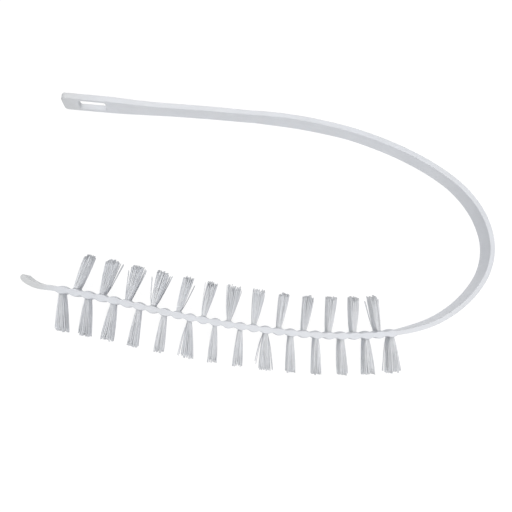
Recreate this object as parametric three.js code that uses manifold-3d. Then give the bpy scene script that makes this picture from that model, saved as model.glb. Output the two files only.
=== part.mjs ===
// Flexible double-sided lint brush: a flat plastic strip on its edge, bent into a loop, with a hanging slot at the handle end
// and flat bristle tufts set alternately into both faces of the other end. Millimetres, +Z up, the strip's lower edge on z = 0.
import * as THREE from "three";
import { mergeVertices } from "three/addons/utils/BufferGeometryUtils.js";
import Module from "manifold-3d";

// ---------------------------------------------------------------- driving dimensions
const WIDTH = 14.7; // strip width, standing up along Z
const START = [-142.31, 96.23]; // handle end of the upper edge's middle line
const START_HEADING = -4.25; // degrees from +X
// The middle line of the upper edge, from the handle end to the tip: [length, turn in degrees], negative turns clockwise
const ARCS = [
  [28, -0.08], [10, -1.59], [10, 0.01], [14, 1.25], [18, 1.67], [20, -0.42], [20, -1.29], [20, 1.92], [20, -4.25],
  [20, -4.01], [20, -2.84], [20, -5.12], [20, -4.02], [18, -4.57], [16, -4.76], [16, -6.59], [16, -11.23], [16, -14.01],
  [16, -16.06], [18, -23.35], [18, -21.53], [18, -13.61], [18, -11.84], [19, -13.02], [19, -10.18], [32, -6.15],
  [40, -6.39], [50, -3.56], [50, -4.01], [50, 2.07], [14, 1.52], [8, 3.29], [17, -40.5],
];
const LENGTH = ARCS.reduce((sum, a) => sum + a[0], 0);
// Strip thickness along its length: [distance from the handle end, thickness]
const THICKNESS = [
  [0, 4.6], [24, 4.7], [34, 4.7], [54, 4], [88, 3.9], [112, 3.8], [136, 3.6], [190, 3.7], [330, 3.7], [362, 3.4],
  [404, 3.3], [432, 3.4], [448, 3], [682, 3], [688, 3.6], [LENGTH, 3.7],
];
// How far the strip leans outwards from upright along its length: [distance, degrees]
const LEAN = [
  [0, 9.6], [30, 9.3], [40, 8], [64, 2.8], [76, 0.8], [96, 1.2], [136, 1.2], [148, 4.2], [160, 4.8], [176, 4.5],
  [190, 3.8], [208, 2.4], [228, 2.8], [268, 2.2], [290, 1.6], [312, 3], [330, 2.4], [345, 1.4], [364, 2], [380, 3.2],
  [400, 3.9], [412, 4.1], [432, 3.9], [440, 2.4], [448, 0], [684, 0], [690, 1.6], [697, 0.6], [LENGTH, 0.4],
];
const SLOT = { from: 11.2, to: 30.4, low: 2.8, high: 12.8 }; // hanging slot through the handle
const END_CORNER = 3.3; // radius of the handle end's two corners
const STATIONS = 27; // tufts, alternating between the outer and the inner face
const FIRST_STATION = 452.4;
const PITCH = 8.76;
const BOSS_HALF_LENGTH = 3.7; // each station swells on both faces
const BOSS_RISE = 1.38; // on each face
const POCKET = { halfWidth: 1.8, halfStraight: 4.5, bottom: -1.6 }; // oblong blind hole, depth counted from the strip's middle
const ROOT = { halfWidth: 1.5, halfStraight: 4.5, bottom: -1.3, mouth: 3.1 };
const TUFT_TIP = 26.6; // from the strip's middle to the trimmed ends
const TIP_HALF_HEIGHT = 6.75; // half of the tuft's height at its ends
const TUNNEL = { halfWidth: 0.55, from: -0.4, to: 1.85 }; // the filaments fold round this space
const ANCHOR = { thick: 0.45, from: -0.1, to: 1.55, long: 11.4 }; // flat wire
// Each tuft: [lean along the strip in degrees, width at the ends]
const TUFTS = [
  [3.3, 9.8], [2.4, 6.4], [-1, 8], [-3.7, 6.7], [-3, 6.3], [-4.8, 7.2], [-3.3, 6.2], [-4.6, 7.6], [-5.3, 6.8],
  [-3.6, 7.4], [-5.7, 8.5], [-1.7, 9], [-3.6, 7.3], [-0.6, 10], [-5.5, 7.2], [-4.4, 8], [-8.2, 9], [-4.5, 7.6],
  [-5, 7], [-1.6, 8.8], [-4.3, 7.2], [-2.2, 8.2], [-3.3, 8.4], [-3.4, 8.5], [-7.9, 7.9], [-8.2, 6.1], [-11.3, 8.2],
];
// The moulding flexes anywhere; these are the places where it is divided so that it can: [distance, closing degrees, opening degrees]
const FLEX = [[118, 6, 30], [216, 6, 35], [331, 6, 35], [440, 6, 30], [561.9, 10, 10]];
const STRIP_NAMES = ["handle", "shaft_upper", "shaft_bend", "shaft_lower", "brush_spine_rear", "brush_spine_front"];
const GAP = 0.3;

// ---------------------------------------------------------------- the strip's middle line and profile
const rad = THREE.MathUtils.degToRad;

function along(s) {
  let [x, y] = START;
  let h = rad(START_HEADING);
  for (const [length, turn] of ARCS) {
    const k = rad(turn) / length;
    const d = Math.min(s, length);
    x += (Math.sin(h + k * d) - Math.sin(h)) / k;
    y -= (Math.cos(h + k * d) - Math.cos(h)) / k;
    h += k * d;
    s -= d;
    if (s <= 1e-9) break;
  }
  return { x, y, h };
}

function table(rows, s) {
  for (let i = 1; i < rows.length; i++) {
    if (s <= rows[i][0]) {
      const [s0, a] = rows[i - 1];
      const [s1, b] = rows[i];
      return a + ((b - a) * (s - s0)) / (s1 - s0);
    }
  }
  return rows[rows.length - 1][1];
}

const stationAt = (k) => FIRST_STATION + PITCH * k;

function halfThickness(s) {
  let h = table(THICKNESS, s) / 2;
  const k = Math.round((s - FIRST_STATION) / PITCH);
  if (k >= 0 && k < STATIONS) {
    const d = Math.abs(s - stationAt(k)) / BOSS_HALF_LENGTH;
    if (d < 1) h += BOSS_RISE * (1 - d * d) ** 1.2;
  }
  const end = Math.min(s, LENGTH - s); // blunt rounded ends
  if (end < 1.6) h *= 0.62 + 0.38 * Math.sqrt(Math.max(0, 1 - ((1.6 - end) / 1.6) ** 2));
  return h;
}

// From the flat moulding (s along, v towards the outer face, u up) to its place in the loop
function place(s, v, u) {
  const { x, y, h } = along(Math.min(Math.max(s, 0), LENGTH));
  const lean = rad(table(LEAN, s));
  const out = v * Math.cos(lean) - (WIDTH - u) * Math.sin(lean);
  const lift = halfThickness(s) * Math.sin(lean);
  return [x - Math.sin(h) * out, y + Math.cos(h) * out, u * Math.cos(lean) - v * Math.sin(lean) + lift];
}

// ---------------------------------------------------------------- solids
const wasm = await Module();
wasm.setup();

function toManifold(geometry) {
  const g = geometry.clone();
  for (const name of Object.keys(g.attributes)) if (name !== "position") g.deleteAttribute(name);
  const m = mergeVertices(g, 1e-4);
  return new wasm.Manifold(
    new wasm.Mesh({
      numProp: 3,
      vertProperties: new Float32Array(m.attributes.position.array),
      triVerts: new Uint32Array(m.index.array),
    }),
  );
}

function toGeometry(manifold) {
  const mesh = manifold.getMesh();
  const n = mesh.numProp;
  const points = [];
  for (let i = 0; i < mesh.vertProperties.length; i += n) {
    points.push(mesh.vertProperties[i], mesh.vertProperties[i + 1], mesh.vertProperties[i + 2]);
  }
  const g = new THREE.BufferGeometry();
  g.setAttribute("position", new THREE.Float32BufferAttribute(points, 3));
  g.setIndex(Array.from(mesh.triVerts));
  g.computeVertexNormals();
  return g;
}

// Where the strip's outline needs points, between the two ends of a stretch
function stops(from, to) {
  const list = new Set();
  const add = (s) => {
    if (s > from + 1.3 && s < to - 1.3) list.add(Math.round(s * 1000) / 1000);
  };
  for (const s of [0.25, 0.8, 1.6, END_CORNER]) {
    if (from === 0) list.add(s);
    if (to === LENGTH && s < 2) list.add(LENGTH - s);
  }
  const brush = [stationAt(0) - BOSS_HALF_LENGTH, stationAt(STATIONS - 1) + BOSS_HALF_LENGTH];
  for (let s = from; s < Math.min(to, brush[0]); ) {
    s += s < 45 ? 11 : s < 110 ? 9 : s < 190 ? 12 : 6.5;
    if (s < brush[0] - 2) add(s);
  }
  for (let k = 0; k < STATIONS; k++) for (const d of [-1, -0.66, -0.33, 0, 0.33, 0.66, 1]) add(stationAt(k) + d * BOSS_HALF_LENGTH);
  for (let s = brush[1] + 3; s < to; s += 3) add(s);
  return [from, ...[...list].sort((a, b) => a - b), to];
}

// A stretch's end row. At a flex axis its middle comes nearly up to the axis and both faces are set back, so that the neighbour can turn.
function endRow(at, sign, side) {
  const flex = FLEX.find((f) => f[0] === at);
  if (!flex) return at;
  if (side === 0) return at + (sign * GAP) / 2;
  const deg = side < 0 ? flex[1] : flex[2];
  return at + sign * (GAP / 2 + (halfThickness(at) + 0.05) * Math.tan(rad(deg / 2 + 0.6)));
}

// Moves each vertex of a geometry
function bend(geometry, map) {
  const p = geometry.attributes.position;
  for (let i = 0; i < p.count; i++) p.setXYZ(i, ...map(p.getX(i), p.getY(i), p.getZ(i)));
  return geometry;
}

// One stretch of the strip, bent to its place
function stretch(from, to) {
  const rows = stops(from, to);
  const n = rows.length - 1;
  return bend(new THREE.BoxGeometry(n, 2, 1, n, 2, 1), (x, y, z) => {
    const i = Math.round(x + n / 2);
    const side = Math.round(y);
    const s = i === 0 ? endRow(from, 1, side) : i === n ? endRow(to, -1, side) : rows[i];
    const inset = END_CORNER - Math.sqrt(END_CORNER ** 2 - Math.max(0, END_CORNER - s) ** 2);
    return place(s, side * halfThickness(rows[i]), z > 0 ? WIDTH - inset : inset);
  });
}

const mid = WIDTH / 2;

// The oblong pocket for station k
function pocket(k) {
  const side = k % 2 === 0 ? 1 : -1;
  const outline = new THREE.Shape();
  outline.absarc(0, POCKET.halfStraight, POCKET.halfWidth, 0, Math.PI, false);
  outline.absarc(0, -POCKET.halfStraight, POCKET.halfWidth, Math.PI, 2 * Math.PI, false);
  const solid = new THREE.ExtrudeGeometry(outline, { depth: 5 - POCKET.bottom, bevelEnabled: false, curveSegments: 4 });
  solid.translate(0, 0, POCKET.bottom).rotateX(-Math.PI / 2); // depth now along +y, out of the face
  if (side < 0) solid.rotateZ(Math.PI);
  return bend(solid, (x, y, z) => place(stationAt(k) + x, y, mid + z));
}

// Tufts are made upright at the origin: x along the strip, y out of the face, z up. Oblong rings, wider towards the trimmed ends.
function tuft(leanDeg, tipWidth) {
  const rootHeight = ROOT.halfStraight + ROOT.halfWidth;
  const levels = [ROOT.bottom, ROOT.mouth, ROOT.mouth + 9, TUFT_TIP];
  const bundle = bend(new THREE.CylinderGeometry(1, 1, 3, 10, 3), (x, y, z) => {
    const level = levels[Math.round(y + 1.5)];
    const f = Math.max(0, (level - ROOT.mouth) / (TUFT_TIP - ROOT.mouth));
    const halfWidth = ROOT.halfWidth + (tipWidth / 2 - ROOT.halfWidth) * f ** 0.75;
    const halfHeight = rootHeight + (TIP_HALF_HEIGHT - rootHeight) * f;
    const shift = Math.tan(rad(leanDeg)) * Math.max(0, level - ROOT.mouth);
    if (Math.hypot(x, z) < 0.5) return [shift, level, 0];
    const turn = Math.round(THREE.MathUtils.radToDeg(Math.atan2(x, z)) / 36); // -2 to 2 lies on the upper round end
    const upper = Math.abs(turn) <= 2;
    const a = upper ? Math.PI / 2 - (turn * Math.PI) / 4 : -((((turn + 10) % 10) - 3) * Math.PI) / 4;
    const cap = (upper ? 1 : -1) * (halfHeight - halfWidth);
    return [shift + halfWidth * Math.cos(a), level, cap + halfWidth * Math.sin(a)];
  });
  const tunnel = new THREE.BoxGeometry(2 * TUNNEL.halfWidth, TUNNEL.to - TUNNEL.from, 20).translate(0, (TUNNEL.to + TUNNEL.from) / 2, 0);
  return toGeometry(toManifold(bundle).subtract(toManifold(tunnel)));
}

// ---------------------------------------------------------------- the assembly
const brush = new THREE.Group();
brush.name = "flexible_lint_brush";

const plastic = () => new THREE.MeshStandardMaterial({ color: 0xe8e9ed, roughness: 0.45, metalness: 0 });
const bristle = () => new THREE.MeshStandardMaterial({ color: 0xd9dade, roughness: 0.6, metalness: 0 });
const wire = () => new THREE.MeshStandardMaterial({ color: 0xb8bbc0, roughness: 0.35, metalness: 1 });

const cuts = [0, ...FLEX.map((f) => f[0]), LENGTH];
STRIP_NAMES.forEach((name, i) => {
  const [from, to] = [cuts[i], cuts[i + 1]];
  let solid = toManifold(stretch(from, to));
  if (name === "handle") {
    const slot = new THREE.BoxGeometry(SLOT.to - SLOT.from, 20, SLOT.high - SLOT.low);
    slot.translate((SLOT.from + SLOT.to) / 2, 0, (SLOT.low + SLOT.high) / 2);
    solid = solid.subtract(toManifold(bend(slot, place)));
  }
  for (let k = 0; k < STATIONS; k++) {
    if (stationAt(k) > from && stationAt(k) < to) solid = solid.subtract(toManifold(pocket(k)));
  }
  const mesh = new THREE.Mesh(toGeometry(solid), plastic());
  mesh.name = name;
  brush.add(mesh);
});

for (let k = 0; k < STATIONS; k++) {
  const outer = k % 2 === 0;
  const { x, y, h } = along(stationAt(k));
  const label = String(k + 1).padStart(2, "0");
  const station = new THREE.Group();
  station.position.set(x, y, mid);
  station.rotation.z = outer ? h : h + Math.PI;
  const bundle = new THREE.Mesh(tuft(outer ? TUFTS[k][0] : -TUFTS[k][0], TUFTS[k][1]), bristle());
  bundle.name = `tuft_${outer ? "outer" : "inner"}_${label}`;
  const anchor = new THREE.Mesh(new THREE.BoxGeometry(ANCHOR.thick, ANCHOR.to - ANCHOR.from, ANCHOR.long), wire());
  anchor.position.y = (ANCHOR.to + ANCHOR.from) / 2;
  anchor.name = `anchor_${outer ? "outer" : "inner"}_${label}`;
  station.add(bundle, anchor);
  brush.add(station);
}

export default brush;
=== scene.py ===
"""Flexible lint brush: a long white plastic strip with a slotted handle, bent into a loop, whose last third
carries 27 flat tufts of nylon filaments, set alternately into its outer and its inner face."""

import math

import bmesh
import bpy
import numpy as np
from mathutils import Matrix, Vector


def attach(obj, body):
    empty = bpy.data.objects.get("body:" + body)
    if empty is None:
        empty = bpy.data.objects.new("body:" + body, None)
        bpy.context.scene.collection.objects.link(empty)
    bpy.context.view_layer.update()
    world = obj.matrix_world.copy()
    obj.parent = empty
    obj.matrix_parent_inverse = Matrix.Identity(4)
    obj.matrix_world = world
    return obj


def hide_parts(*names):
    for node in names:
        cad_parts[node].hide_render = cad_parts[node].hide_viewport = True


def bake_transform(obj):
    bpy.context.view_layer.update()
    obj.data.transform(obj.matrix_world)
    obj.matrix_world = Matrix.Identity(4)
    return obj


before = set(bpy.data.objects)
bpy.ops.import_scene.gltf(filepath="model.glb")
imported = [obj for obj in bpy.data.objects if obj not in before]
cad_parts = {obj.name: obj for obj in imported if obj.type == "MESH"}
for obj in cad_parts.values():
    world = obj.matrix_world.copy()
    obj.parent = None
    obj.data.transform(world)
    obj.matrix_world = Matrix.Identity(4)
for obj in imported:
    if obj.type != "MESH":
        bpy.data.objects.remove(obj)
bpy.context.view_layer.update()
scene = bpy.context.scene
MM = 0.001

# ------------------------------------------------------------------ the strip's line, in mm, as the CAD model has it

WIDTH = 14.7
START, START_HEADING = (-142.31, 96.23), -4.25
# fmt: off
ARCS = [(28, -0.08), (10, -1.59), (10, 0.01), (14, 1.25), (18, 1.67), (20, -0.42), (20, -1.29), (20, 1.92),
        (20, -4.25), (20, -4.01), (20, -2.84), (20, -5.12), (20, -4.02), (18, -4.57), (16, -4.76), (16, -6.59),
        (16, -11.23), (16, -14.01), (16, -16.06), (18, -23.35), (18, -21.53), (18, -13.61), (18, -11.84),
        (19, -13.02), (19, -10.18), (32, -6.15), (40, -6.39), (50, -3.56), (50, -4.01), (50, 2.07), (14, 1.52),
        (8, 3.29), (17, -40.5)]
THICKNESS = [(0, 4.6), (24, 4.7), (34, 4.7), (54, 4), (88, 3.9), (112, 3.8), (136, 3.6), (190, 3.7), (330, 3.7),
             (362, 3.4), (404, 3.3), (432, 3.4), (448, 3), (682, 3), (688, 3.6), (709, 3.7)]
LEAN = [(0, 9.6), (30, 9.3), (40, 8), (64, 2.8), (76, 0.8), (96, 1.2), (136, 1.2), (148, 4.2), (160, 4.8), (176, 4.5),
        (190, 3.8), (208, 2.4), (228, 2.8), (268, 2.2), (290, 1.6), (312, 3), (330, 2.4), (345, 1.4), (364, 2),
        (380, 3.2), (400, 3.9), (412, 4.1), (432, 3.9), (440, 2.4), (448, 0), (684, 0), (690, 1.6), (697, 0.6), (709, 0.4)]
# Each tuft's lean along the strip in degrees, and its width at the tip
TUFTS = [(3.3, 9.8), (2.4, 6.4), (-1, 8), (-3.7, 6.7), (-3, 6.3), (-4.8, 7.2), (-3.3, 6.2), (-4.6, 7.6), (-5.3, 6.8),
         (-3.6, 7.4), (-5.7, 8.5), (-1.7, 9), (-3.6, 7.3), (-0.6, 10), (-5.5, 7.2), (-4.4, 8), (-8.2, 9), (-4.5, 7.6),
         (-5, 7), (-1.6, 8.8), (-4.3, 7.2), (-2.2, 8.2), (-3.3, 8.4), (-3.4, 8.5), (-7.9, 7.9), (-8.2, 6.1), (-11.3, 8.2)]
# fmt: on
LENGTH = float(sum(a[0] for a in ARCS))
SLOT = {"from": 11.2, "to": 30.4, "low": 2.8, "high": 12.8, "corner": 1.3, "fillet": 0.5}
FIRST_STATION, PITCH, BOSS_HALF, BOSS_RISE = 452.4, 8.76, 3.7, 1.38
BARREL = {"outer": 0.22, "inner": 0.6}  # how much of a swelling is lost at the edges
STATION = FIRST_STATION + PITCH * np.arange(len(TUFTS))
POCKET = {"half_width": 1.6, "half_height": 6.2, "bottom": -1.6, "fillet": 0.12}
ROOT_HALF_WIDTH, ROOT_HALF_HEIGHT, MOUTH, TIP, TIP_HALF_HEIGHT = 1.5, 6.0, 3.1, 26.6, 6.75
CORNER = 0.5  # the strip's edges are rounded to this
# How the two ends are rounded in plan, as (length, depth) on the outer and the inner face, and their corners' radius
NOSE = {"outer": (2.4, 1.5), "inner": (1.4, 0.9), "corner": 3.3}
TOE = {"outer": (3.8, 2.3), "inner": (0.9, 0.55), "corner": 1.0}


def arc_starts():
    (x, y), h, s, rows = START, math.radians(START_HEADING), 0.0, []
    for length, turn in ARCS:
        k = math.radians(turn) / length
        rows.append((s, x, y, h, k))
        x += (math.sin(h + k * length) - math.sin(h)) / k
        y -= (math.cos(h + k * length) - math.cos(h)) / k
        h, s = h + k * length, s + length
    return np.array(rows)


ARC_STARTS = arc_starts()


def along(s):
    """Place and heading of the strip's middle plane at length s."""
    s = np.asarray(s, float)
    i = np.clip(np.searchsorted(ARC_STARTS[:, 0], s, side="right") - 1, 0, len(ARC_STARTS) - 1)
    s0, x, y, h, k = np.moveaxis(ARC_STARTS[i], -1, 0)
    d = s - s0
    return x + (np.sin(h + k * d) - np.sin(h)) / k, y - (np.cos(h + k * d) - np.cos(h)) / k, h + k * d


def table(rows, s):
    return np.interp(s, [r[0] for r in rows], [r[1] for r in rows])


def half_thickness(s, u=WIDTH / 2, side=-1):
    """How far the outer (side 1) or inner (side -1) face is from the middle plane at length s and height u. The swellings at
    the stations are barrel-shaped, fullest half-way up."""
    s = np.asarray(s, float)
    k = np.clip(np.rint((s - FIRST_STATION) / PITCH), 0, len(TUFTS) - 1)
    off = np.minimum(np.abs(s - FIRST_STATION - k * PITCH) / BOSS_HALF, 1)
    barrel = 1 - BARREL["outer" if side > 0 else "inner"] * np.abs(2 * np.asarray(u, float) / WIDTH - 1) ** 2.6
    return table(THICKNESS, s) / 2 + BOSS_RISE * (1 - off**2) ** 1.2 * barrel


def place(svu):
    """Strip coordinates (length, height over the middle plane towards the outer face, height over the lower edge) to metres."""
    s, v, u = np.asarray(svu, float).T
    lean = np.radians(table(LEAN, s))
    x, y, h = along(s)
    out = v * np.cos(lean) - (WIDTH - u) * np.sin(lean)
    lift = table(THICKNESS, s) / 2 * np.sin(lean)
    return np.stack([x - np.sin(h) * out, y + np.cos(h) * out, u * np.cos(lean) - v * np.sin(lean) + lift], 1) * MM


# ------------------------------------------------------------------ materials


def material(name):
    made = bpy.data.materials.new(name)
    made.use_nodes = True
    tree = made.node_tree
    return made, tree, tree.nodes["Principled BSDF"]


def noise(tree, where, scale, detail=2.0, rough=0.5):
    made = tree.nodes.new("ShaderNodeTexNoise")
    made.inputs["Scale"].default_value = scale
    made.inputs["Detail"].default_value = detail
    made.inputs["Roughness"].default_value = rough
    tree.links.new(where, made.inputs["Vector"])
    return made.outputs["Fac"]


def spread(tree, value, low, high, source=(0.3, 0.7)):
    made = tree.nodes.new("ShaderNodeMapRange")
    made.inputs["From Min"].default_value, made.inputs["From Max"].default_value = source
    made.inputs["To Min"].default_value, made.inputs["To Max"].default_value = low, high
    tree.links.new(value, made.inputs["Value"])
    return made.outputs["Result"]


def maths(tree, operation, a, b):
    made = tree.nodes.new("ShaderNodeMath")
    made.operation = operation
    for socket, value in zip(made.inputs, (a, b)):
        if isinstance(value, (int, float)):
            socket.default_value = value
        else:
            tree.links.new(value, socket)
    return made.outputs[0]


def tinted(tree, colour, by):
    """A colour whose brightness is scaled by a value."""
    made = tree.nodes.new("ShaderNodeVectorMath")
    made.operation = "SCALE"
    if isinstance(colour, tuple):
        made.inputs[0].default_value = colour
    else:
        tree.links.new(colour, made.inputs[0])
    tree.links.new(by, made.inputs["Scale"])
    return made.outputs[0]


def attribute(tree, name):
    made = tree.nodes.new("ShaderNodeAttribute")
    made.attribute_name = name
    return made


def plastic():
    """Satin white moulded plastic: cloudy resin, flow lines along the strip, fine mould grain, edges rubbed smoother,
    painted shade darkening both ends where the light falls off.
    """
    made, tree, shader = material("white_plastic")
    where = attribute(tree, "strip_place").outputs["Vector"]
    edge = attribute(tree, "edge").outputs["Fac"]
    flow = tree.nodes.new("ShaderNodeVectorMath")
    flow.operation = "MULTIPLY"
    flow.inputs[1].default_value = (0.05, 1.0, 1.0)
    tree.links.new(where, flow.inputs[0])
    cloud = noise(tree, where, 55, 3)
    streak = noise(tree, flow.outputs[0], 420, 3, 0.6)
    speck = noise(tree, where, 1900, 2)
    tone = maths(tree, "MULTIPLY", spread(tree, cloud, 0.972, 1.022), spread(tree, streak, 0.985, 1.012))
    tone = maths(tree, "MULTIPLY", tone, spread(tree, speck, 0.985, 1.012))
    tone = maths(tree, "MULTIPLY", tone, spread(tree, edge, 1.0, 1.025, (0, 1)))
    warm = tree.nodes.new("ShaderNodeMix")
    warm.data_type = "RGBA"
    warm.inputs[6].default_value = (0.574, 0.596, 0.641, 1)
    warm.inputs[7].default_value = (0.592, 0.606, 0.636, 1)
    tree.links.new(noise(tree, where, 30, 2), warm.inputs[0])
    parts = tree.nodes.new("ShaderNodeSeparateXYZ")
    tree.links.new(where, parts.inputs[0])
    # painted shade: both ends of the strip are blended towards a darker grey, where the light falls off
    ends = maths(tree, "ADD", spread(tree, parts.outputs["X"], 0.65, 0.0, (0.006, 0.024)), spread(tree, parts.outputs["X"], 0.0, 1.0, (0.682, 0.696)))
    painted_end_shade = tree.nodes.new("ShaderNodeMix")
    painted_end_shade.data_type = "RGBA"
    painted_end_shade.inputs[7].default_value = (0.531, 0.543, 0.557, 1)
    tree.links.new(warm.outputs[2], painted_end_shade.inputs[6])
    tree.links.new(maths(tree, "MULTIPLY", ends, spread(tree, noise(tree, where, 140, 3), 0.8, 1.2)), painted_end_shade.inputs[0])
    tree.links.new(tinted(tree, painted_end_shade.outputs[2], tone), shader.inputs["Base Color"])
    rough = maths(tree, "SUBTRACT", spread(tree, noise(tree, where, 260, 4), 0.40, 0.54), maths(tree, "MULTIPLY", edge, 0.06))
    tree.links.new(rough, shader.inputs["Roughness"])
    grain = maths(tree, "ADD", maths(tree, "MULTIPLY", noise(tree, where, 3200, 2), 0.35), noise(tree, where, 900, 2))
    sink = maths(tree, "ADD", grain, maths(tree, "MULTIPLY", streak, 0.8))
    bump = tree.nodes.new("ShaderNodeBump")
    bump.inputs["Strength"].default_value = 0.25
    bump.inputs["Distance"].default_value = 0.00004
    tree.links.new(sink, bump.inputs["Height"])
    tree.links.new(bump.outputs[0], shader.inputs["Normal"])
    shader.inputs["IOR"].default_value = 1.49
    shader.inputs["Specular IOR Level"].default_value = 0.45
    return made


def nylon():
    """White nylon filament: each a little lighter or darker than its neighbours, darker tuft by tuft towards the
    strip's end as painted shade, clouded along its length, with painted shade on its cut ends, on lone filaments and on
    the lower, handle-facing sides of the tufts.
    """
    made, tree, shader = material("white_nylon")
    tone = attribute(tree, "tone").outputs["Fac"]
    reach = attribute(tree, "reach").outputs["Fac"]
    where = attribute(tree, "strip_place").outputs["Vector"]
    mixed = tree.nodes.new("ShaderNodeMix")
    mixed.data_type = "RGBA"
    mixed.inputs[6].default_value = (0.695, 0.717, 0.762, 1)
    mixed.inputs[7].default_value = (0.789, 0.808, 0.842, 1)
    tree.links.new(tone, mixed.inputs[0])
    cloud = spread(tree, noise(tree, where, 300, 2), 0.965, 1.03)
    shade = maths(tree, "MULTIPLY", spread(tree, reach, 1.0, 0.94, (0.45, 0.95)), spread(tree, reach, 0.97, 1.0, (0.0, 0.35)))
    # painted shade: this attribute darkens the colour by up to half
    shade = maths(tree, "MULTIPLY", shade, spread(tree, attribute(tree, "painted_shade").outputs["Fac"], 1.0, 0.5, (0.0, 1.0)))
    tree.links.new(tinted(tree, mixed.outputs[2], maths(tree, "MULTIPLY", cloud, shade)), shader.inputs["Base Color"])
    shader.inputs["Subsurface Weight"].default_value = 0.7
    shader.inputs["Subsurface Radius"].default_value = (1.0, 1.0, 1.0)
    shader.inputs["Subsurface Scale"].default_value = 0.0008
    shader.inputs["Roughness"].default_value = 0.42
    shader.inputs["IOR"].default_value = 1.53
    shader.inputs["Specular IOR Level"].default_value = 0.4
    return made


def wire():
    """Drawn steel wire: fine lines along it."""
    made, tree, shader = material("drawn_wire")
    where = attribute(tree, "strip_place").outputs["Vector"]
    drawn = tree.nodes.new("ShaderNodeVectorMath")
    drawn.operation = "MULTIPLY"
    drawn.inputs[1].default_value = (1.0, 1.0, 0.03)
    tree.links.new(where, drawn.inputs[0])
    lines = noise(tree, drawn.outputs[0], 9000, 3)
    tree.links.new(tinted(tree, (0.56, 0.57, 0.59), spread(tree, lines, 0.85, 1.1)), shader.inputs["Base Color"])
    tree.links.new(spread(tree, lines, 0.24, 0.42), shader.inputs["Roughness"])
    shader.inputs["Metallic"].default_value = 1.0
    return made


PLASTIC, NYLON, WIRE = plastic(), nylon(), wire()


# ------------------------------------------------------------------ meshes


def mesh_object(name, points, faces, look, attributes, outward=False, uv=None):
    mesh = bpy.data.meshes.new(name)
    mesh.from_pydata(np.asarray(points).tolist(), [], faces)
    for key, values in attributes.items():
        values = np.asarray(values, np.float32)
        kind = "FLOAT_VECTOR" if values.ndim == 2 else "FLOAT"
        layer = mesh.attributes.new(key, kind, "POINT")
        layer.data.foreach_set("vector" if values.ndim == 2 else "value", values.ravel())
    if uv is not None:
        layer = mesh.uv_layers.new(name="OFBake", do_init=False)
        corner = np.empty(len(mesh.loops), np.int32)
        mesh.loops.foreach_get("vertex_index", corner)
        layer.uv.foreach_set("vector", np.asarray(uv, np.float32)[corner].ravel())
    mesh.polygons.foreach_set("use_smooth", np.ones(len(mesh.polygons), bool))
    if outward:
        work = bmesh.new()
        work.from_mesh(mesh)
        bmesh.ops.recalc_face_normals(work, faces=work.faces)
        for e in work.edges:
            if len(e.link_faces) == 2 and e.calc_face_angle() > 0.8:
                e.smooth = False
        work.to_mesh(mesh)
        work.free()
    mesh.materials.append(look)
    made = bpy.data.objects.new(name, mesh)
    scene.collection.objects.link(made)
    return made


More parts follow.
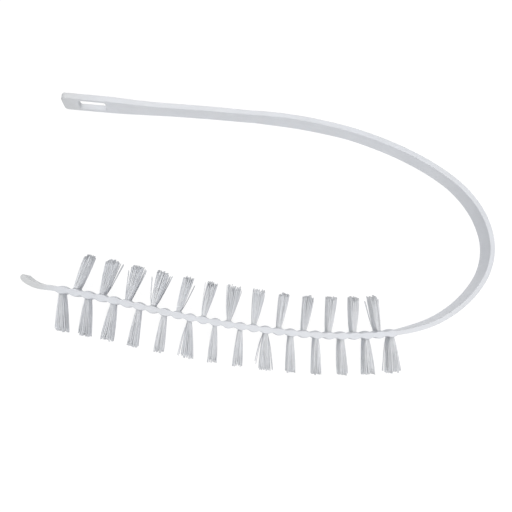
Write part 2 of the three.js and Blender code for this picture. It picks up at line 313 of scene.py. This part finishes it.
class Skin:
    """A stretch of the strip as a closed skin in strip coordinates: rings round the section, with holes worked into its faces."""

    def __init__(self, stops, levels):
        self.stops = np.asarray(stops, float)
        self.levels = np.linspace(CORNER, WIDTH - CORNER, levels + 1)
        self.points, self.edges, self.faces, self.known = [], [], [], {}
        self.loop = self.section()
        self.open = set()  # the quads that a hole's own skin stands for

    def section(self):
        """The ring, as rows of (share of the half thickness, offset, height, edge weight)."""
        r, turn = CORNER, np.radians([22.5, 45, 67.5])
        rows = [(1, 0, u, 0) for u in self.levels]
        self.outer = range(len(rows))
        rows += [(1, r * (np.cos(a) - 1), WIDTH - r + r * np.sin(a), 1) for a in turn]
        flat = np.array([1, 0.75, 0.5, 0.25, 0.09, 0, -0.09, -0.25, -0.5, -0.75, -1])
        # a faint parting line stands along the middle of both edges
        rows += [(f, -f * r, WIDTH + 0.035 * (f == 0), 0.35) for f in flat]
        rows += [(-1, -r * (np.cos(a) - 1), WIDTH - r + r * np.sin(a), 1) for a in turn[::-1]]
        begin = len(rows)
        rows += [(-1, 0, u, 0) for u in self.levels[::-1]]
        self.inner = range(begin, len(rows))
        rows += [(-1, -r * (np.cos(a) - 1), r - r * np.sin(a), 1) for a in turn]
        rows += [(f, -f * r, 0, 0.35) for f in flat[::-1]]
        rows += [(1, r * (np.cos(a) - 1), r - r * np.sin(a), 1) for a in turn[::-1]]
        return rows

    def ends(self, s, v, u, h):
        """Rounds the two ends of the strip in plan and at their corners."""
        for d, end in ((s, NOSE), (LENGTH - s, TOE)):
            cut = {}
            for side in ("outer", "inner"):
                length, depth = end[side]
                cut[side] = depth * (1 - math.sqrt(max(0.0, 1 - (1 - min(d / length, 1)) ** 2)))
            v = (v + h) / (2 * h) * (2 * h - cut["outer"] - cut["inner"]) - (h - cut["inner"])
            r = end["corner"]
            inset = r * (1 - math.sqrt(max(0.0, 1 - (1 - min(d / r, 1)) ** 2)))
            u = WIDTH / 2 + (u - WIDTH / 2) * (1 - 2 * inset / WIDTH)
        return v, u

    def add(self, s, v, u, edge=0.0):
        self.points.append((s, v, u))
        self.edges.append(edge)
        return len(self.points) - 1

    def at(self, i, j):
        """The vertex of ring i at place j of the section."""
        j %= len(self.loop)
        if (i, j) not in self.known:
            share, offset, u, edge = self.loop[j]
            s = self.stops[i]
            h = float(half_thickness(s, u, share))
            v, u = self.ends(s, share * h + offset, u, h)
            self.known[i, j] = self.add(s, v, u, edge)
        return self.known[i, j]

    def index(self, s):
        i = int(np.argmin(np.abs(self.stops - s)))
        assert abs(self.stops[i] - s) < 1e-6, s
        return i

    def rim(self, side, begin, end, half_length, half_height, corner, fillet, rings):
        """Works a hole with rounded corners into one face between two stops. Returns the vertices of the wall's first ring."""
        i0, i1 = self.index(begin), self.index(end)
        js = list(self.outer) if side > 0 else list(self.inner)[::-1]
        for i in range(i0, i1):
            for a, b in zip(js, js[1:]):
                self.open.add((i, min(a, b)))
        border = [(i, js[0]) for i in range(i0, i1)] + [(i1, j) for j in js[:-1]]
        border += [(i, js[-1]) for i in range(i1, i0, -1)] + [(i0, j) for j in js[:0:-1]]
        outer = [self.at(i, j) for i, j in border]
        centre = np.array([(begin + end) / 2, WIDTH / 2])
        reach = np.array([(end - begin) / 2, self.levels[-1] - WIDTH / 2])
        straight, arc, top = half_height - corner, corner * np.pi / 2, half_length - corner
        hole, away = [], []
        for n in outer:
            offset = np.array([self.points[n][0], self.points[n][2]]) - centre
            sign = np.where(offset < 0, -1.0, 1.0)
            ds, du = np.abs(offset)
            if reach[0] - ds < 1e-6:
                d = du / reach[1] * (straight + arc / 2)
            else:
                d = straight + arc / 2 + (reach[0] - ds) / reach[0] * (arc / 2 + top)
            if d <= straight:
                at, way = (half_length, d), (1.0, 0.0)
            elif d <= straight + arc:
                a = (d - straight) / corner
                way = (math.cos(a), math.sin(a))
                at = (half_length - corner + corner * way[0], half_height - corner + corner * way[1])
            else:
                at, way = (half_length - corner - (d - straight - arc), half_height), (0.0, 1.0)
            hole.append(centre + sign * at)
            away.append(sign * way)
        hole, away = np.array(hole), np.array(away)
        start = np.array([[self.points[n][0], self.points[n][2]] for n in outer])
        last = outer
        for t in np.linspace(0, 1, rings + 1)[1:]:
            p = start * (1 - t) + (hole + away * fillet) * t
            last = self.ring(last, p, side * half_thickness(*p.T, side), 0.0)
        for a in np.radians([30, 60, 90]):
            p = hole + away * fillet * (1 - math.sin(a))
            last = self.ring(last, p, side * (half_thickness(*p.T, side) - fillet * (1 - math.cos(a))), 0.8)
        return last, hole

    def ring(self, last, p, v, edge):
        new = [self.add(s, w, u, edge) for (s, u), w in zip(p, v)]
        self.join(last, new)
        return new

    def join(self, a, b):
        for n in range(len(a)):
            m = (n + 1) % len(a)
            self.faces.append((a[n], a[m], b[m], b[n]))

    def slot(self):
        half = (SLOT["to"] - SLOT["from"]) / 2
        middle = (SLOT["to"] + SLOT["from"]) / 2
        box = (middle - 12, middle + 12, half, (SLOT["high"] - SLOT["low"]) / 2, SLOT["corner"], SLOT["fillet"], 5)
        upper, hole = self.rim(1, *box)
        lower, _ = self.rim(-1, *box)
        h = half_thickness(hole[:, 0]) - SLOT["fillet"]
        for t in (0.5, 0.0, -0.5):
            upper = self.ring(upper, hole, h * t, 0.0)
        self.join(upper, lower)

    def pocket(self, k):
        side = 1 if k % 2 == 0 else -1
        s = STATION[k]
        width, height = POCKET["half_width"], POCKET["half_height"]
        last, hole = self.rim(side, s - BOSS_HALF, s + BOSS_HALF, width, height, width, POCKET["fillet"], 3)
        for v in (1.2, 0.0, POCKET["bottom"] + 0.25):
            last = self.ring(last, hole, np.full(len(hole), side * v), 0.0)
        centre = np.array([s, WIDTH / 2])
        inward = centre + (hole - centre) * np.array([0.86, 0.96])
        last = self.ring(last, inward, np.full(len(hole), side * POCKET["bottom"]), 0.0)
        self.faces.append(tuple(last))

    def close(self, name):
        count = len(self.loop)
        for i in range(len(self.stops) - 1):
            for j in range(count):
                if (i, j) not in self.open:
                    self.faces.append((self.at(i, j), self.at(i, j + 1), self.at(i + 1, j + 1), self.at(i + 1, j)))
        for i in (0, len(self.stops) - 1):
            self.faces.append(tuple(self.at(i, j) for j in range(count)))
        points = np.array(self.points)
        return mesh_object(name, place(points), self.faces, PLASTIC, {"strip_place": points * MM, "edge": self.edges}, outward=True)


def stops(begin, end, step):
    """Ring places from begin to end: close together at the strip's ends and over the tuft stations."""
    marks = {begin, end}
    if begin == 0:
        marks |= {3.3, SLOT["from"] / 2 + SLOT["to"] / 2 - 12, SLOT["from"] / 2 + SLOT["to"] / 2 + 12}
    if end == LENGTH:
        marks |= {LENGTH - 3.8}
    for s in STATION:
        if begin < s < end:
            marks |= {s - BOSS_HALF, s + BOSS_HALF}
    marks = sorted(marks)
    found = [marks[0]]
    for a, b in zip(marks, marks[1:]):
        if a == 0 and b < 4:
            found += list(b * (1 - np.cos(np.linspace(0, np.pi / 2, 11)))[1:])
        elif b == LENGTH and b - a < 4:
            found += list(a + (b - a) * np.sin(np.linspace(0, np.pi / 2, 11))[1:])
        else:
            boss = abs(b - a - 2 * BOSS_HALF) < 1e-6
            n = 14 if boss else max(1, round((b - a) / (0.8 if b - a < 30 and begin == 0 and b < 40 else step)))
            found += list(np.linspace(a, b, n + 1)[1:])
        found[-1] = b
    return found


def blended(piece, parent, child, pivot, zone):
    """Bakes the piece's placement into its mesh."""
    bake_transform(piece)


# The moulding is one strip. Each stretch runs from the middle of one body to the middle of the next.
STRETCHES = [
    ("strip_handle", 0.0, 167.0, ("handle", "shaft_upper", 118.0, 38.0), ("handle",)),
    ("strip_upper", 167.0, 273.5, ("shaft_upper", "shaft_bend", 216.0, 40.0), ("shaft_upper",)),
    ("strip_bend", 273.5, 385.5, ("shaft_bend", "shaft_lower", 331.0, 40.0), ("shaft_bend",)),
    ("strip_lower", 385.5, 500.58, ("shaft_lower", "brush_rear", 440.0, 30.0), ("shaft_lower",)),
    ("strip_brush", 500.58, LENGTH, ("brush_rear", "brush_front", 561.9, 30.0), ("brush_spine_rear", "brush_spine_front")),
]


def make_strip():
    for name, begin, end, joint, nodes in STRETCHES:
        skin = Skin(stops(begin, end, 1.5), 24)
        if begin == 0:
            skin.slot()
        for k, s in enumerate(STATION):
            if begin < s < end:
                skin.pocket(k)
        piece = skin.close(name)
        blended(piece, *joint)
        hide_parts(*nodes)


# ------------------------------------------------------------------ tufts

# Single filaments that stand away from their tuft: where the tip is along the strip from the tuft's middle, its height, how much shorter
STRAYS = {
    0: [(5.4, 1.5, 0.5), (5.1, 2.3, 1.3), (4.8, 1.3, 0.2)],
    1: [(4.2, 1.3, 2.5), (3.8, 1.9, 3.1)],
    10: [(6.2, 1.3, 4.0), (5.6, 2.0, 2.2), (-5.2, 13.4, 0.2), (-4.8, 12.6, 0.6)],
    13: [(5.4, 13.6, 0.4), (-5.3, 13.5, 2.4), (2.0, 13.4, -1.0)],
    15: [(4.9, 13.5, 1.4)],
    16: [(6.3, 13.6, 0.6), (5.7, 13.0, 0.2), (5.3, 12.3, 1.4)],
    17: [(-5.2, 1.3, 4.0), (-4.9, 2.0, 4.6)],
    19: [(5.9, 13.7, 5.2), (5.5, 12.9, 5.8), (-5.0, 1.6, 1.2), (-5.9, 1.3, 1.6), (-4.5, 2.5, 2.0), (-6.4, 1.8, 0.9)],
    21: [(-4.1, 1.2, 0.8), (-4.8, 1.7, 1.1), (-5.3, 1.4, 1.8), (4.6, 13.5, 4.6), (4.3, 12.8, 5.2)],
    23: [(-5.8, 1.2, 0.7), (-6.4, 1.8, 1.0), (-6.1, 2.7, 1.8), (-4.2, 1.9, 0.6)],
}
FILAMENT = 0.2  # radius
SIDES = 8


def legs(rng, half):
    """Places of the filaments at the root on one side of the anchor wire, as x along the strip, z, and the share of the tuft's half width
    that each takes further out, where the rows lie evenly between each other."""
    rows = []
    for row, z in enumerate(np.arange(-ROOT_HALF_HEIGHT + 0.2, ROOT_HALF_HEIGHT - 0.19, 0.4)):
        for col in range(3):
            share = (col + (row * 0.618 + 0.31 * (half > 0)) % 1.0) / 3
            rows.append((0.43 + 0.42 * col + rng.normal(0, 0.015), z + 0.2 * (col % 2) + rng.normal(0, 0.03), share))
    return np.array(rows) * np.array([half, 1.0, half])


def tuft(k):
    rng = np.random.default_rng(4100 + k)
    lean, tip_width = TUFTS[k]
    out = 1 if k % 2 == 0 else -1
    lean = math.radians(lean) * out
    roots = np.stack([legs(rng, 1), legs(rng, -1)], 1).reshape(-1, 3)  # two legs of each folded filament
    n = len(roots)
    # tips: opened out like a fan, drawn together in small locks of uneven length
    crown = 1 - 0.13 * roots[:, 2] ** 4  # flat on top, and a little lower along its sides
    x_mouth = roots[:, 2] * (ROOT_HALF_WIDTH - 0.2)
    x_tip = roots[:, 2] * (tip_width / 2 - 0.2) + rng.normal(0, 0.1, n)
    z_mouth = roots[:, 1] * (1 - 0.5 * (1 - crown))
    z_tip = roots[:, 1] / ROOT_HALF_HEIGHT * (TIP_HALF_HEIGHT - 0.1) * crown + rng.normal(0, 0.12, n)
    z_tip = np.clip(z_tip, -TIP_HALF_HEIGHT + 0.1, TIP_HALF_HEIGHT - 0.1)
    cells = round(tip_width / 1.25)
    edges = np.sort(np.linspace(-1, 1, cells + 1)[1:-1] + rng.normal(0, 0.35 / cells, cells - 1)) * tip_width / 2
    cell = np.searchsorted(edges, x_tip + (0.05 * rng.normal() + 0.03) * z_tip)
    middle = np.array([x_tip[cell == c].mean() if (cell == c).any() else 0 for c in range(cells)])
    gather = (middle[cell] - x_tip) * rng.uniform(0.65, 0.95, cells)[cell] * (rng.random(n) < 0.92)
    longer = np.clip(rng.normal(0, 0.7, (cells, 2)), -1.6, 0.7)
    y_tip = TIP - 0.1 + longer[cell, (z_tip > 1.5).astype(int)] + rng.normal(0, 0.2, n)
    # the tufts of the inner face end a little aslant, their lower filaments furthest out
    slant = 0.2 if out > 0 else 0.85
    y_tip -= z_tip / TIP_HALF_HEIGHT * slant + (0.0 if out > 0 else 0.35)
    y_tip -= (rng.random(n) < 0.12) * rng.uniform(0.3, 1.8, n)
    bow = rng.normal(0, 0.1, (n, 2))
    free = np.ones(n, bool)
    for x, z, less in STRAYS.get(k, []):
        far = (roots[:, 0] - math.copysign(1.27, x * out)) ** 2 + 0.3 * (roots[:, 1] - (z - WIDTH / 2)) ** 2
        pick = int(np.argmin(np.where(free, far, np.inf)))
        free[pick] = False
        x_tip[pick], z_tip[pick], y_tip[pick], gather[pick] = x * out, z - WIDTH / 2, TIP - less, 0
        bow[pick] = (rng.normal(0, 0.12), rng.normal(0, 0.1))
    alone = ~free
    tone = np.repeat(np.clip(rng.beta(2.2, 2.0, n // 2) + 0.25 - 0.6 * k / len(TUFTS), 0, 1), 2)  # random tone per filament pair, darker tuft by tuft towards the strip's end: painted shade where the light falls off

    # each filament goes from one tip down its side of the anchor wire, under it, and up the other side
    up = np.array([0.0, 0.2, 0.42, 0.64, 0.82, 0.93, 1.0])
    legs_at = np.empty((n, len(up) + 1, 3))
    for i, t in enumerate(up):
        y = MOUTH + (y_tip - MOUTH) * t
        swing = np.sin(np.pi * t)
        legs_at[:, i, 0] = x_mouth + (x_tip - x_mouth) * t**0.75 + gather * t**7 + bow[:, 0] * swing + np.tan(lean) * (y - MOUTH)
        legs_at[:, i, 1] = y
        legs_at[:, i, 2] = z_mouth + (z_tip - z_mouth) * t + bow[:, 1] * swing
    legs_at[:, -1] = np.stack([roots[:, 0], np.full(n, 0.7), roots[:, 1]], 1)
    a, b = legs_at[0::2], legs_at[1::2]
    turn = np.radians([15, 50, 90, 130, 165])
    wide = np.abs(np.stack([a[:, -1, 0], b[:, -1, 0]], 1))
    depth = 0.41 + 0.95 * (wide.mean(1) - 0.43)
    fold = np.empty((len(a), len(turn), 3))
    for i, w in enumerate(turn):
        c = math.cos(w)
        fold[:, i, 0] = np.where(c >= 0, a[:, -1, 0], -b[:, -1, 0]) * c
        fold[:, i, 1] = 0.1 - depth * math.sin(w)
        fold[:, i, 2] = a[:, -1, 2] + (b[:, -1, 2] - a[:, -1, 2]) * (1 - c) / 2
    path = np.concatenate([a[:, len(up) - 1 :: -1], a[:, -1:], fold, b[:, -1:], b[:, : len(up)]], 1)
    path[:, :, 2] += WIDTH / 2
    m = path.shape[1]

    tangent = np.gradient(path, axis=1)
    tangent /= np.linalg.norm(tangent, axis=2, keepdims=True)
    across = np.array([0.0, 0.0, 1.0]) - tangent * tangent[:, :, 2:]
    across /= np.linalg.norm(across, axis=2, keepdims=True)
    other = np.cross(tangent, across)
    radius = FILAMENT * rng.normal(1, 0.05, len(path)) * np.where(alone[0::2] | alone[1::2], 1.15, 1.0)
    share = np.ones(m)
    share[0] = share[-1] = 0.92
    angle = np.arange(SIDES) * 2 * np.pi / SIDES
    ring = (np.cos(angle)[:, None] * across[:, :, None] + np.sin(angle)[:, None] * other[:, :, None]) * (radius[:, None] * share)[:, :, None, None]
    points = (path[:, :, None] + ring).reshape(-1, 3)

    first = np.arange(len(path))[:, None, None] * m * SIDES + np.arange(m - 1)[None, :, None] * SIDES
    side = np.arange(SIDES)[None, None, :]
    after = (side + 1) % SIDES
    quads = np.stack([first + side, first + side + SIDES, first + after + SIDES, first + after], -1).reshape(-1, 4)
    faces = quads.tolist()
    for f in range(len(path)):
        base = f * m * SIDES
        faces.append([base + i for i in range(SIDES)])
        faces.append([base + (m - 1) * SIDES + i for i in reversed(range(SIDES))])

    s = STATION[k]
    x0, y0, h = (float(q) for q in along(s))
    h += 0 if out > 0 else math.pi
    world = points.copy()
    world[:, 0] = x0 + math.cos(h) * points[:, 0] - math.sin(h) * points[:, 1]
    world[:, 1] = y0 + math.sin(h) * points[:, 0] + math.cos(h) * points[:, 1]
    reach = np.clip((points[:, 1] - MOUTH) / (TIP - MOUTH), 0, 1)
    painted_shade = np.zeros((len(path), m, SIDES))
    # painted shade on the legs of lone filaments
    painted_shade[alone[0::2], : len(up)] = 0.4
    painted_shade[alone[1::2], -len(up) :] = 0.4
    # painted shade darkens the filaments on the side that faces the handle, the lower ones most
    low = np.clip(0.5 - (path[:, :, 2] - WIDTH / 2) / (2 * TIP_HALF_HEIGHT), 0, 1)
    back = np.where(np.arange(m) < m / 2, roots[0::2, 2:], roots[1::2, 2:]) * -out
    painted_shade += (np.clip((back - 0.3) / 0.6, 0, 1) * (0.2 + 0.2 * low) + 0.06 * low)[:, :, None]
    # painted shade on the cut ends, deeper on the inner tufts
    painted_shade[:, [0, -1]] = 0.5 if out > 0 else 0.6
    # each filament has its own narrow strip of the map
    columns = math.ceil(math.sqrt(len(path) * 3))
    rows = math.ceil(len(path) / columns)
    f, i, j = np.meshgrid(np.arange(len(path)), np.arange(m), np.arange(SIDES), indexing="ij")
    uv = np.stack([(f % columns + 0.12 + 0.76 * j / (SIDES - 1)) / columns, (f // columns + 0.03 + 0.94 * i / (m - 1)) / rows], -1).reshape(-1, 2)
    name = f"{'outer' if out > 0 else 'inner'}_{k + 1:02d}"
    piece = mesh_object(
        f"bristles_{name}", world * MM, faces, NYLON,
        {"tone": np.repeat(tone[0::2], m * SIDES), "reach": reach, "painted_shade": painted_shade.ravel(), "strip_place": points * MM + np.array([s, 0, 0]) * MM},
        uv=uv,
    )
    return piece, name, (x0, y0, h)


def anchor(k, name, at):
    """Flat wire across the pocket: rounded, pinched a little where it was cut, with a slight wave from being driven in."""
    x0, y0, h = at
    half_thick, low, high, half_long = 0.215, -0.1, 1.5, 5.65
    turn = np.radians([0, 30, 60, 90])
    r = 0.16
    section = []
    for cx, cy, begin in ((half_thick - r, high - r, 0), (-half_thick + r, high - r, 90), (-half_thick + r, low + r, 180), (half_thick - r, low + r, 270)):
        section += [(cx + r * math.cos(t + math.radians(begin)), cy + r * math.sin(t + math.radians(begin))) for t in turn]
    section = np.array(section)
    zs = np.concatenate([-half_long + np.array([0, 0.12, 0.35, 0.8]), np.linspace(-4.4, 4.4, 13), half_long - np.array([0.8, 0.35, 0.12, 0])])
    points, faces = [], []
    for z in zs:
        end = min(1.0, 0.62 + (half_long - abs(z)) / 0.9)
        wave = 0.012 * math.sin(z * 1.9 + k)
        points += [(x * end + wave, 0.7 + (y - 0.7) * (0.8 + 0.2 * end), WIDTH / 2 + z) for x, y in section]
    count = len(section)
    for i in range(len(zs) - 1):
        for j in range(count):
            m = (j + 1) % count
            faces.append((i * count + j, i * count + m, (i + 1) * count + m, (i + 1) * count + j))
    faces += [tuple(range(count)), tuple(range((len(zs) - 1) * count, len(zs) * count))]
    points = np.array(points)
    world = points.copy()
    world[:, 0] = x0 + math.cos(h) * points[:, 0] - math.sin(h) * points[:, 1]
    world[:, 1] = y0 + math.sin(h) * points[:, 0] + math.cos(h) * points[:, 1]
    return mesh_object(f"wire_{name}", world * MM, faces, WIRE, {"strip_place": points * MM}, outward=True)


def make_tufts():
    for k, s in enumerate(STATION):
        bristles, name, at = tuft(k)
        holder = anchor(k, name, at)
        body = "brush_rear" if k < 13 else "brush_front"
        for piece, kind, slot in ((bristles, "tuft", "bristle"), (holder, "anchor", "anchor")):
            joint = next((j for _, _, _, j, _ in STRETCHES[3:] if abs(s - j[2]) < j[3] + 7), None)
            if joint:
                blended(piece, *joint)
            else:
                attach(piece, body)
            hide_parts(f"{kind}_{name}")


# ------------------------------------------------------------------ camera, floor and light


def make_camera():
    """A view from almost straight above, 37 cm over the table. The point under the camera is at pixel (217, 318) of 512."""
    data = bpy.data.cameras.new("camera")
    data.sensor_width, data.lens = 36.0, 36.0 * 520 / 512
    data.clip_start, data.clip_end = 0.01, 50
    camera = bpy.data.objects.new("camera", data)
    scene.collection.objects.link(camera)
    z = -Vector((217 - 256, -(318 - 256), -520)).normalized()
    y = (Vector((0, 1, 0)) - z * z.y).normalized()
    x = y.cross(z)
    camera.matrix_world = Matrix.Translation(Vector((-33.67, -58.78, 369.46)) * MM) @ Matrix((x, y, z)).to_4x4()
    scene.camera = camera


def make_stage():
    mesh = bpy.data.meshes.new("floor")
    r = 6.0
    mesh.from_pydata([(-r, -r, -0.00002), (r, -r, -0.00002), (r, r, -0.00002), (-r, r, -0.00002)], [], [(0, 1, 2, 3)])
    floor = bpy.data.objects.new("floor", mesh)
    scene.collection.objects.link(floor)
    look, tree, shader = material("white_paper")
    shader.inputs["Base Color"].default_value = (0.12, 0.12, 0.12, 1)
    shader.inputs["Roughness"].default_value = 0.9
    shader.inputs["Specular IOR Level"].default_value = 0.1
    shader.inputs["Emission Color"].default_value = (1, 1, 1, 1)
    shader.inputs["Emission Strength"].default_value = 0.92
    mesh.materials.append(look)

    world = bpy.data.worlds.new("studio")
    world.use_nodes = True
    sky = world.node_tree.nodes["Background"]
    sky.inputs[0].default_value = (0.985, 0.99, 1.0, 1)
    sky.inputs[1].default_value = 0.25
    scene.world = world

    def lamp(name, size, place, target, watts):
        data = bpy.data.lights.new(name, "AREA")
        data.shape, data.energy, data.color = "RECTANGLE", watts, (1.0, 0.99, 0.972)
        data.size, data.size_y = size
        made = bpy.data.objects.new(name, data)
        made.location = place
        made.rotation_euler = (Vector(target) - Vector(place)).to_track_quat("-Z", "Y").to_euler()
        scene.collection.objects.link(made)

    lamp("softbox_back", (1.1, 0.7), (-0.15, 0.9, 1.1), (0, 0, 0), 11.0)
    lamp("softbox_front", (1.5, 0.7), (0.08, -0.9, 1.1), (0, 0, 0), 12.8)
    lamp("softbox_right", (0.7, 0.7), (0.7, 0, 1.25), (0, 0, 0), 2.4)
    lamp("softbox_over_brush", (0.4, 0.4), (0.2, -0.1, 0.75), (0.2, -0.1, 0), 0.8)

    scene.view_settings.view_transform = "Standard"
    scene.view_settings.look = "None"
    scene.view_settings.exposure = 0.0
    scene.view_settings.gamma = 1.0


make_camera()
make_strip()
make_tufts()
make_stage()

bpy.context.view_layer.update()
